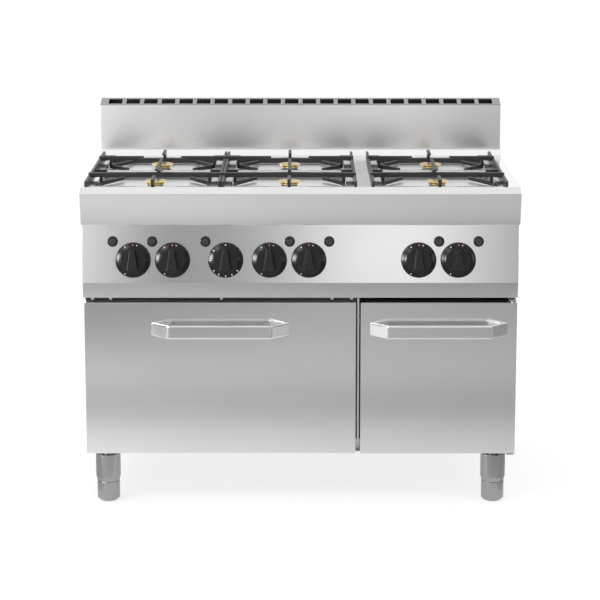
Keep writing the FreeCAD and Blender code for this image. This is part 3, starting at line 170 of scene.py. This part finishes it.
def steel(name, colour, roughness, streak=0.08, smudge=0.05, upright=0.0):
    """Stainless steel whose grain runs along X, or along Z where it is upright."""
    finish = bpy.data.materials.new(name)
    finish.use_nodes = True
    nodes, links = finish.node_tree.nodes, finish.node_tree.links
    shader = nodes["Principled BSDF"]
    shader.inputs["Metallic"].default_value = 1.0
    lines = nodes.new("ShaderNodeGroup")
    lines.node_tree = grain
    for socket, value in (("Roughness", roughness), ("Streak", streak), ("Smudge", smudge),
                          ("Upright", upright)):
        lines.inputs[socket].default_value = value
    tint = nodes.new("ShaderNodeMix")
    tint.data_type = "RGBA"
    tint.blend_type = "MULTIPLY"
    tint.inputs[0].default_value = 1.0
    tint.inputs[6].default_value = (*colour, 1.0)
    links.new(lines.outputs["Shade"], tint.inputs[7])
    links.new(tint.outputs[2], shader.inputs["Base Color"])
    links.new(lines.outputs["Roughness"], shader.inputs["Roughness"])
    ridges = nodes.new("ShaderNodeBump")
    ridges.inputs["Strength"].default_value = 0.25
    ridges.inputs["Distance"].default_value = grain_depth
    links.new(lines.outputs["Height"], ridges.inputs["Height"])
    links.new(ridges.outputs[0], shader.inputs["Normal"])
    return finish


worktop_steel = steel("worktop_polished_steel", (0.9, 0.9, 0.905), 0.13, streak=0.04, smudge=0.04)
worktop = softened("worktop", "frame", worktop_steel, 0.0009)
# The well floors get a paler, rougher steel: the paler colour is painted highlight, the roughness is their
# finish.
well_painted_highlight_steel = steel("well_steel_painted_highlight", (0.95, 0.95, 0.955), 0.42, streak=0.03, smudge=0.12)
worktop.data.materials.append(well_painted_highlight_steel)
lip_depth = 0.03
lip_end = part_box("worktop")[0].y + lip_depth
lowest_floor, highest_floor = 0.84, 0.895
for face in worktop.data.polygons:
    in_well = face.center.y > lip_end and lowest_floor < face.center.z < highest_floor
    if in_well and face.normal.z > 0.9:
        face.material_index = 1

# ---- burners ----
# Six cast mixing cups under the wells, each with a turned brass cap that sits on its neck.
# The caps are bare machined brass with fine lathe rings, darkened a little by heat at the ports.


def brass(name, colour, roughness, ring_scale):
    """Turned brass with faint rings and heat-darkened patches."""
    finish = bpy.data.materials.new(name)
    finish.use_nodes = True
    nodes, links = finish.node_tree.nodes, finish.node_tree.links
    shader = nodes["Principled BSDF"]
    shader.inputs["Metallic"].default_value = 1.0
    place = nodes.new("ShaderNodeTexCoord")
    patches = nodes.new("ShaderNodeTexNoise")
    patches.inputs["Scale"].default_value = 40.0
    patches.inputs["Detail"].default_value = 4.0
    links.new(place.outputs["Object"], patches.inputs["Vector"])
    tone = nodes.new("ShaderNodeValToRGB")
    tone.color_ramp.elements[0].position = 0.3
    tone.color_ramp.elements[0].color = (*[0.72 * channel for channel in colour], 1.0)
    tone.color_ramp.elements[1].position = 0.6
    tone.color_ramp.elements[1].color = (*colour, 1.0)
    links.new(patches.outputs["Fac"], tone.inputs[0])
    links.new(tone.outputs[0], shader.inputs["Base Color"])
    spread = nodes.new("ShaderNodeMapRange")
    spread.inputs["To Min"].default_value = roughness - 0.06
    spread.inputs["To Max"].default_value = roughness + 0.1
    links.new(patches.outputs["Fac"], spread.inputs["Value"])
    links.new(spread.outputs[0], shader.inputs["Roughness"])
    rings = nodes.new("ShaderNodeTexNoise")
    rings.inputs["Scale"].default_value = ring_scale
    links.new(place.outputs["Object"], rings.inputs["Vector"])
    relief = nodes.new("ShaderNodeBump")
    relief.inputs["Strength"].default_value = 0.15
    relief.inputs["Distance"].default_value = 0.0002
    links.new(rings.outputs["Fac"], relief.inputs["Height"])
    links.new(relief.outputs[0], shader.inputs["Normal"])
    return finish


cap_brass = brass("cap_brass_turned", (0.95, 0.74, 0.36), 0.25, 900.0)
softened("burner_caps", "frame", cap_brass, 0.0004)


def cast_metal(name, colour, grit_scale, roughness, relief_depth, metallic=0.0, coat=0.0):
    """Cast metal with a sandy skin: fine grit in its height, colour and gloss."""
    finish = bpy.data.materials.new(name)
    finish.use_nodes = True
    nodes, links = finish.node_tree.nodes, finish.node_tree.links
    shader = nodes["Principled BSDF"]
    shader.inputs["Metallic"].default_value = metallic
    shader.inputs["Coat Weight"].default_value = coat
    shader.inputs["Coat Roughness"].default_value = 0.25
    place = nodes.new("ShaderNodeTexCoord")
    grit = nodes.new("ShaderNodeTexNoise")
    grit.inputs["Scale"].default_value = grit_scale
    grit.inputs["Detail"].default_value = 5.0
    links.new(place.outputs["Object"], grit.inputs["Vector"])
    tone = nodes.new("ShaderNodeValToRGB")
    tone.color_ramp.elements[0].position = 0.35
    tone.color_ramp.elements[0].color = (*[0.7 * channel for channel in colour], 1.0)
    tone.color_ramp.elements[1].position = 0.68
    tone.color_ramp.elements[1].color = (*[1.35 * channel for channel in colour], 1.0)
    links.new(grit.outputs["Fac"], tone.inputs[0])
    links.new(tone.outputs[0], shader.inputs["Base Color"])
    gloss = nodes.new("ShaderNodeMapRange")
    gloss.inputs["To Min"].default_value = roughness - 0.08
    gloss.inputs["To Max"].default_value = roughness + 0.12
    links.new(grit.outputs["Fac"], gloss.inputs["Value"])
    links.new(gloss.outputs[0], shader.inputs["Roughness"])
    relief = nodes.new("ShaderNodeBump")
    relief.inputs["Strength"].default_value = 0.5
    relief.inputs["Distance"].default_value = relief_depth
    links.new(grit.outputs["Fac"], relief.inputs["Height"])
    links.new(relief.outputs[0], shader.inputs["Normal"])
    return finish


softened("burner_bodies", "frame",
         cast_metal("burner_cup_casting", (0.30, 0.27, 0.23), 500.0, 0.45, 0.0002, metallic=1.0), 0.0006)

# ---- grates ----
# Three cast-iron double grates that lift off. Their matt black enamel is thin over a sandy casting,
# and every edge is well rounded by the mould.

grate_iron = cast_metal("grate_enamelled_iron", (0.02, 0.02, 0.021), 700.0, 0.4, 0.0003, coat=0.1)
for column in ("left", "middle", "right"):
    softened(f"grate_{column}", f"grate_{column}", grate_iron, 0.0016)

# ---- control panel ----
# A folded satin panel under the lip, its grain along its length, pierced for taps and spark buttons.

panel_steel = steel("panel_satin_steel", (0.9, 0.9, 0.905), 0.18, streak=0.04)
softened("control_panel", "frame", panel_steel, 0.0008)

# ---- knobs ----
# Seven moulded black knobs: a gloss skirt with printed marks, a raised disc and a tapered grip.
# Burner knobs carry a red stop mark and three dots, and the oven knob a ring of heat marks.


def moulded(name, colour, roughness, grit_scale=1500.0, relief_depth=0.00003, specular=0.5):
    """Hard moulded plastic with a faint orange-peel skin."""
    finish = bpy.data.materials.new(name)
    finish.use_nodes = True
    nodes, links = finish.node_tree.nodes, finish.node_tree.links
    shader = nodes["Principled BSDF"]
    shader.inputs["Specular IOR Level"].default_value = specular
    place = nodes.new("ShaderNodeTexCoord")
    peel = nodes.new("ShaderNodeTexNoise")
    peel.inputs["Scale"].default_value = grit_scale
    peel.inputs["Detail"].default_value = 2.0
    links.new(place.outputs["Object"], peel.inputs["Vector"])
    tone = nodes.new("ShaderNodeValToRGB")
    tone.color_ramp.elements[0].color = (*[0.85 * channel for channel in colour], 1.0)
    tone.color_ramp.elements[1].color = (*[1.15 * channel for channel in colour], 1.0)
    links.new(peel.outputs["Fac"], tone.inputs[0])
    links.new(tone.outputs[0], shader.inputs["Base Color"])
    gloss = nodes.new("ShaderNodeMapRange")
    gloss.inputs["To Min"].default_value = roughness - 0.04
    gloss.inputs["To Max"].default_value = roughness + 0.06
    links.new(peel.outputs["Fac"], gloss.inputs["Value"])
    links.new(gloss.outputs[0], shader.inputs["Roughness"])
    relief = nodes.new("ShaderNodeBump")
    relief.inputs["Strength"].default_value = 0.3
    relief.inputs["Distance"].default_value = relief_depth
    links.new(peel.outputs["Fac"], relief.inputs["Height"])
    links.new(relief.outputs[0], shader.inputs["Normal"])
    return finish


knob_black = moulded("knob_gloss_black", (0.003, 0.003, 0.0032), 0.25,
                     relief_depth=0.00001, specular=0.3)
# The grip is moulded with the skirt and painted lighter than it: painted highlight, on a satin finish.
grip_painted_highlight_black = moulded("knob_grip_satin_painted_highlight", (0.012, 0.012, 0.0125), 0.36, specular=0.35)
mark_white = moulded("knob_mark_white", (0.78, 0.78, 0.76), 0.5)
mark_red = moulded("knob_mark_red", (0.62, 0.13, 0.11), 0.5)

controls = [name.removeprefix("knob_") for name in frame["bodies"] if name.startswith("knob_")]
mark_radius = 0.0425
mark_height = 0.01275
mark_lift = 0.00015
mark_sides = 16
cone_slope = math.atan2(5.0, 10.0)
# each mark: degrees clockwise from the top, half its width, half its length, ink
burner_marks = ((0, 0.0016, 0.0030, mark_red), (15, 0.0016, 0.0016, mark_white),
                (-30, 0.0017, 0.0017, mark_white), (-150, 0.0017, 0.0017, mark_white))
oven_marks = ((0, 0.0016, 0.0022, mark_white), (-50, 0.0014, 0.0034, mark_white),
              (-90, 0.0014, 0.0028, mark_white), (-131, 0.0014, 0.0028, mark_white),
              (-154, 0.0014, 0.0028, mark_white), (180, 0.0014, 0.0028, mark_white),
              (156, 0.0014, 0.0028, mark_white), (131, 0.0014, 0.0034, mark_white))


def printed_marks(name, marks):
    """Thin oval marks on a knob's conical skirt, round its axis."""
    joint = joints[f"knob_{name}_turn"]
    outward = Vector(joint["axis"]).normalized()
    rightward = Vector((1, 0, 0))
    upward = outward.cross(rightward)
    shape = bmesh.new()
    inks = []
    for turn, half_wide, half_long, ink in marks:
        angle = math.radians(turn)
        radial = rightward * math.sin(angle) + upward * math.cos(angle)
        around = rightward * math.cos(angle) - upward * math.sin(angle)
        along = (radial * math.cos(cone_slope) - outward * math.sin(cone_slope)).normalized()
        normal = (outward * math.cos(cone_slope) + radial * math.sin(cone_slope)).normalized()
        centre = Vector(joint["pos_m"]) + radial * mark_radius + outward * mark_height + normal * mark_lift
        corners = []
        for step in range(mark_sides):
            bearing = step * 2.0 * math.pi / mark_sides
            corners.append(shape.verts.new(centre + around * half_wide * math.cos(bearing)
                                           + along * half_long * math.sin(bearing)))
        face = shape.faces.new(corners)
        face.normal_update()
        if face.normal.dot(normal) < 0:
            face.normal_flip()
        if ink not in inks:
            inks.append(ink)
        face.material_index = inks.index(ink)
    mesh = bpy.data.meshes.new(f"knob_{name}_marks")
    shape.to_mesh(mesh)
    shape.free()
    for ink in inks:
        mesh.materials.append(ink)
    piece = bpy.data.objects.new(f"knob_{name}_marks", mesh)
    bpy.context.scene.collection.objects.link(piece)
    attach(piece, f"knob_{name}")


disc_radius = 0.0345
for name in controls:
    knob = softened(f"knob_{name}", f"knob_{name}", knob_black, 0.0006, split=True)
    knob.data.materials.append(grip_painted_highlight_black)
    # Grip faces above the disc take the lighter grip material: painted highlight.
    outward = Vector(joints[f"knob_{name}_turn"]["axis"]).normalized()
    for face in knob.data.polygons:
        arm = face.center - Vector(joints[f"knob_{name}_turn"]["pos_m"])
        if (arm - outward * arm.dot(outward)).length < disc_radius and arm.dot(outward) > mark_height:
            face.material_index = 1
    printed_marks(name, oven_marks if name == "oven" else burner_marks)
    frame["nodes"][f"spindle_{name}"].data.materials.clear()
    frame["nodes"][f"spindle_{name}"].data.materials.append(cap_brass)

# ---- spark buttons ----
# Seven satin black push buttons in black bezels, each with a dimple in its face.

bezel_black = moulded("bezel_satin_black", (0.012, 0.012, 0.013), 0.3, specular=0.4)
# The buttons are painted lighter than their bezels: painted highlight that shows the ring between them.
button_painted_highlight_black = moulded("button_satin_painted_highlight", (0.03, 0.03, 0.031), 0.34)
softened("igniter_bodies", "frame", bezel_black, 0.0004)
for name in controls:
    softened(f"igniter_button_{name}", f"igniter_button_{name}", button_painted_highlight_black, 0.0003)

# ---- doors ----
# Pans of satin sheet with closed corners, backed by liners: dark enamel on the oven door and plain
# steel on the cupboard's. Mineral wool fills the oven door behind its skin.

door_steel = steel("door_satin_steel", (0.88, 0.88, 0.885), 0.2, streak=0.05)
softened("oven_door_skin", "oven_door", door_steel, 0.0009)
softened("cupboard_door_skin", "cupboard_door", door_steel, 0.0009)
inner_steel = steel("inner_sheet_steel", (0.62, 0.62, 0.63), 0.38, streak=0.05, smudge=0.1)
dark_enamel = cast_metal("oven_dark_enamel", (0.035, 0.036, 0.04), 260.0, 0.22, 0.0001, coat=0.7)
softened("oven_door_liner", "oven_door", dark_enamel, 0.0006)
softened("cupboard_door_liner", "cupboard_door", inner_steel, 0.0006)
softened("oven_door_hinge_blocks", "oven_door", inner_steel, 0.0005)

# ---- handles ----
# Two bent bars of satin steel, welded to the doors, with well-rounded long edges.

handle_steel = steel("handle_satin_steel", (0.84, 0.84, 0.85), 0.2, streak=0.05)
for door in ("oven_door", "cupboard_door"):
    softened(f"{door}_handle", door, handle_steel, 0.005, 5)

# ---- carcass ----
# Side, back and base sheets, the deck over the doors, the partition with its front post, the hinge
# brackets, and the flue box with its slotted cover. The flue's inner walls are painted near-black,
# and the cover a dark grey, as painted shade.

for node in ("side_panel_left", "side_panel_right", "back_panel"):
    softened(node, "frame", panel_steel, 0.0008)
splash_steel = steel("splash_satin_steel", (0.95, 0.95, 0.955), 0.29, streak=0.04)
flue = softened("flue_box", "frame", splash_steel, 0.0008)
# Painted shade: the inner upright walls of the flue box take a near-black steel.
flue_painted_shade_steel = steel("flue_inner_painted_shade", (0.06, 0.058, 0.055), 0.5, streak=0.05, smudge=0.2)
flue.data.materials.append(flue_painted_shade_steel)
flue_low, flue_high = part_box("flue_box")
skin = 0.001
for face in flue.data.polygons:
    inside = [flue_low[axis] + skin < face.center[axis] < flue_high[axis] - skin for axis in (0, 1)]
    if all(inside) and abs(face.normal.z) < 0.5:
        face.material_index = 1
# The slotted cover's steel is painted dark grey: painted shade for the dim reflection it shows.
grille_painted_shade_steel = steel("grille_steel_painted_shade", (0.36, 0.36, 0.36), 0.32, streak=0.05, smudge=0.1)
softened("flue_grille", "frame", grille_painted_shade_steel, 0.0005)
for node in ("base_panel", "centre_partition", "mid_deck", "hinge_brackets"):
    softened(node, "frame", inner_steel, 0.0005)

# ---- oven ----
# A dark enamelled liner wrapped in mineral wool, an iron floor over the tube burner, chromed runners
# and a wire shelf, and a heat-proof seal round the mouth.

softened("oven_liner", "frame", dark_enamel, 0.0006)
softened("oven_floor_plate", "frame",
         cast_metal("oven_floor_iron", (0.07, 0.068, 0.066), 300.0, 0.55, 0.0003, metallic=0.6), 0.0008)
rack_chrome = steel("rack_chrome", (0.88, 0.88, 0.89), 0.12, streak=0.02, smudge=0.03)
softened("oven_runners", "frame", rack_chrome, 0.0005)
softened("oven_shelf", "oven_shelf", rack_chrome, 0.0006)
pipe_zinc = cast_metal("pipe_zinc_plate", (0.52, 0.53, 0.55), 180.0, 0.35, 0.00005, metallic=1.0)
softened("oven_burner", "frame", pipe_zinc, 0.0006)
seal_black = moulded("oven_seal_black", (0.03, 0.03, 0.032), 0.6, 400.0, 0.0002)
softened("oven_gasket", "frame", seal_black, 0.0016)
mineral_wool = cast_metal("mineral_wool", (0.62, 0.53, 0.27), 350.0, 0.85, 0.002)
for node, body in (("oven_insulation", "frame"), ("oven_door_insulation", "oven_door")):
    frame["nodes"][node].data.materials.clear()
    frame["nodes"][node].data.materials.append(mineral_wool)

# ---- gas supply ----
# The zinc-plated rail and inlet pipe behind the panel, and the brass taps clamped to it.

softened("gas_manifold", "frame", pipe_zinc, 0.0006)
softened("gas_valves", "frame", brass("tap_cast_brass", (0.72, 0.56, 0.28), 0.42, 400.0), 0.0012)

# ---- legs and feet ----
# Satin steel tubes with tapered ends, and screw-adjusted feet with turned lower edges.

# The legs and feet take a dark steel: painted shade for the dim reflections down their sides.
leg_painted_shade_steel = steel("leg_steel_painted_shade", (0.33, 0.33, 0.335), 0.2, streak=0.05, upright=1.0)
softened("leg_tubes", "frame", leg_painted_shade_steel, 0.0006)
for corner in ("front_left", "front_right", "back_left", "back_right"):
    softened(f"foot_{corner}", f"foot_{corner}", leg_painted_shade_steel, 0.0008)

# ---- stage, light and camera ----
# A pale floor under an even white sky, with a soft key light above and a strip at each side.
# Graded cards on the floor, in front, overhead and at the sides show only in the polished metal.


def stage_sheet(name, corners):
    """A flat sheet of the stage with a plain material, returned with its shader."""
    mesh = bpy.data.meshes.new(name)
    mesh.from_pydata(corners, [], [tuple(range(len(corners)))])
    finish = bpy.data.materials.new(name)
    finish.use_nodes = True
    mesh.materials.append(finish)
    sheet = bpy.data.objects.new(name, mesh)
    bpy.context.scene.collection.objects.link(sheet)
    return sheet, finish


floor_reach = 60.0
floor_corners = [(-floor_reach, -floor_reach, 0), (floor_reach, -floor_reach, 0),
                 (floor_reach, floor_reach, 0), (-floor_reach, floor_reach, 0)]
paint = stage_sheet("floor", floor_corners)[1].node_tree.nodes["Principled BSDF"]
paint.inputs["Base Color"].default_value = (0.4, 0.4, 0.4, 1.0)
paint.inputs["Roughness"].default_value = 0.9
paint.inputs["Specular IOR Level"].default_value = 0.0
paint.inputs["Emission Color"].default_value = (1.0, 1.0, 1.0, 1.0)
paint.inputs["Emission Strength"].default_value = 0.66


def mirror_card(name, corners, along, low, high, tones, across=None, across_span=None, across_tones=None):
    """A card that lights nothing and shows only in reflections, graded in greys along its axes."""
    card, finish = stage_sheet(name, corners)
    nodes, links = finish.node_tree.nodes, finish.node_tree.links
    shader = nodes["Principled BSDF"]
    shader.inputs["Base Color"].default_value = (0.0, 0.0, 0.0, 1.0)
    shader.inputs["Specular IOR Level"].default_value = 0.0
    shader.inputs["Emission Strength"].default_value = 1.0
    place = nodes.new("ShaderNodeTexCoord")
    split = nodes.new("ShaderNodeSeparateXYZ")
    links.new(place.outputs["Object"], split.inputs[0])

    def graded(axis, start, end, stops):
        share = nodes.new("ShaderNodeMapRange")
        share.inputs["From Min"].default_value = start
        share.inputs["From Max"].default_value = end
        links.new(split.outputs[axis], share.inputs["Value"])
        ramp = nodes.new("ShaderNodeValToRGB")
        while len(ramp.color_ramp.elements) < len(stops):
            ramp.color_ramp.elements.new(0.5)
        for element, (position, tone) in zip(ramp.color_ramp.elements, stops):
            element.position = position
            element.color = (tone, tone, tone, 1.0)
        links.new(share.outputs[0], ramp.inputs[0])
        return ramp.outputs[0]

    shade = graded(along, low, high, tones)
    if across:
        both = nodes.new("ShaderNodeMix")
        both.data_type = "RGBA"
        both.blend_type = "MULTIPLY"
        both.inputs[0].default_value = 1.0
        links.new(shade, both.inputs[6])
        links.new(graded(across, *across_span, across_tones), both.inputs[7])
        shade = both.outputs[2]
    links.new(shade, shader.inputs["Emission Color"])
    card.visible_camera = False
    card.visible_diffuse = False
    card.visible_shadow = False


def lying(left, right, front, back, height):
    """The corners of a level rectangle."""
    return [(left, front, height), (right, front, height), (right, back, height), (left, back, height)]


def facing(left, right, depth, low, high):
    """The corners of an upright rectangle across the front."""
    return [(left, depth, low), (right, depth, low), (right, depth, high), (left, depth, high)]


def beside(across, front, back, low, high):
    """The corners of an upright rectangle along one side."""
    return [(across, front, low), (across, back, low), (across, back, high), (across, front, high)]


just_above = 0.004
mirror_card("near floor card", lying(-3.5, 3.5, -2.1, -0.45, just_above), "Y", -0.45, -2.1,
            ((0.0, 0.8), (0.35, 0.64), (0.45, 0.46), (0.52, 0.22), (0.62, 0.22), (0.67, 0.58),
             (0.74, 0.62), (1.0, 0.44)),
            "X", (-1.0, 1.0), ((0.0, 1.3), (0.5, 1.05), (1.0, 0.84)))
mirror_card("far floor card", lying(-3.5, 3.5, -5.0, -2.1, just_above), "Y", -2.1, -5.0,
            ((0.0, 0.44), (0.28, 0.26), (0.6, 0.24), (1.0, 0.52)),
            "X", (-1.2, 1.2), ((0.0, 0.62), (0.5, 1.2), (1.0, 1.05)))
mirror_card("front card", facing(-2.4, 2.4, -3.0, 0.25, 1.3), "X", -1.5, 1.5,
            ((0.0, 1.0), (0.18, 0.95), (0.31, 0.22), (0.45, 0.42), (0.57, 0.95), (0.66, 1.0), (0.82, 0.3)))
mirror_card("upper front card", facing(-3.0, 3.0, -3.0, 1.3, 2.6), "Z", 1.3, 2.6,
            ((0.0, 0.5), (0.5, 0.4), (1.0, 0.75)))
mirror_card("overhead card", [(-3.0, -0.7, 3.2), (-3.0, 1.6, 3.2), (3.0, 1.6, 3.2), (3.0, -0.7, 3.2)],
            "X", -1.0, 1.0, ((0.0, 0.9), (0.5, 0.88), (1.0, 0.86)))
mirror_card("left floor card", lying(-5.0, -0.65, -0.45, 5.0, just_above), "X", -0.65, -5.0,
            ((0.0, 0.8), (0.2, 0.5), (0.5, 0.3), (1.0, 0.6)))
mirror_card("right floor card", lying(0.65, 5.0, -0.45, 5.0, just_above), "X", 0.65, 5.0,
            ((0.0, 0.7), (0.2, 0.42), (0.5, 0.25), (1.0, 0.5)))
mirror_card("back floor card", lying(-0.65, 0.65, 0.4, 5.0, just_above), "Y", 0.4, 5.0,
            ((0.0, 0.8), (0.2, 0.5), (0.5, 0.3), (1.0, 0.5)))
mirror_card("left card", beside(-3.2, -6.0, 2.5, 0.0, 2.2), "Y", -6.0, 2.5,
            ((0.0, 0.5), (0.5, 0.1), (1.0, 0.2)))
mirror_card("right card", beside(3.2, -6.0, 2.5, 0.0, 2.2), "Y", -6.0, 2.5,
            ((0.0, 0.6), (0.5, 0.25), (1.0, 0.25)))

sky = bpy.data.worlds.new("even sky")
sky.use_nodes = True
sky.node_tree.nodes["Background"].inputs["Color"].default_value = (1.0, 1.0, 1.0, 1.0)
sky.node_tree.nodes["Background"].inputs["Strength"].default_value = 1.0
bpy.context.scene.world = sky


def soft_light(name, place, target, wide, tall, power):
    """A rectangular light that faces its target and is hidden from the camera."""
    data = bpy.data.lights.new(name, "AREA")
    data.shape = "RECTANGLE"
    data.size = wide
    data.size_y = tall
    data.energy = power
    light = bpy.data.objects.new(name, data)
    light.location = place
    light.rotation_euler = (Vector(target) - Vector(place)).to_track_quat("-Z", "Y").to_euler()
    light.visible_camera = False
    bpy.context.scene.collection.objects.link(light)
    return light


soft_light("key", (-2.4, -2.6, 3.4), (0, 0, 0.7), 1.2, 1.2, 30)
left_strip = soft_light("left strip", (-2.9, -2.1, 0.97), (0, -0.3, 0.7), 1.2, 0.9, 130)
left_strip.visible_diffuse = False
right_strip = soft_light("right strip", (3.0, -2.0, 0.9), (0, -0.3, 0.6), 0.25, 1.3, 7)
right_strip.visible_diffuse = False

lens = bpy.data.cameras.new("front view")
lens.lens = 125.8
lens.sensor_width = 36.0
lens.shift_x = -0.0008
lens.shift_y = -0.1
lens.clip_end = 200.0
camera = bpy.data.objects.new("front view", lens)
camera.location = (0.0, -5.95, 1.82)
camera.rotation_euler = (math.radians(90 - 10.72), 0, 0)
bpy.context.scene.collection.objects.link(camera)
bpy.context.scene.camera = camera
bpy.context.scene.view_settings.view_transform = "Standard"
bpy.context.scene.view_settings.look = "None"
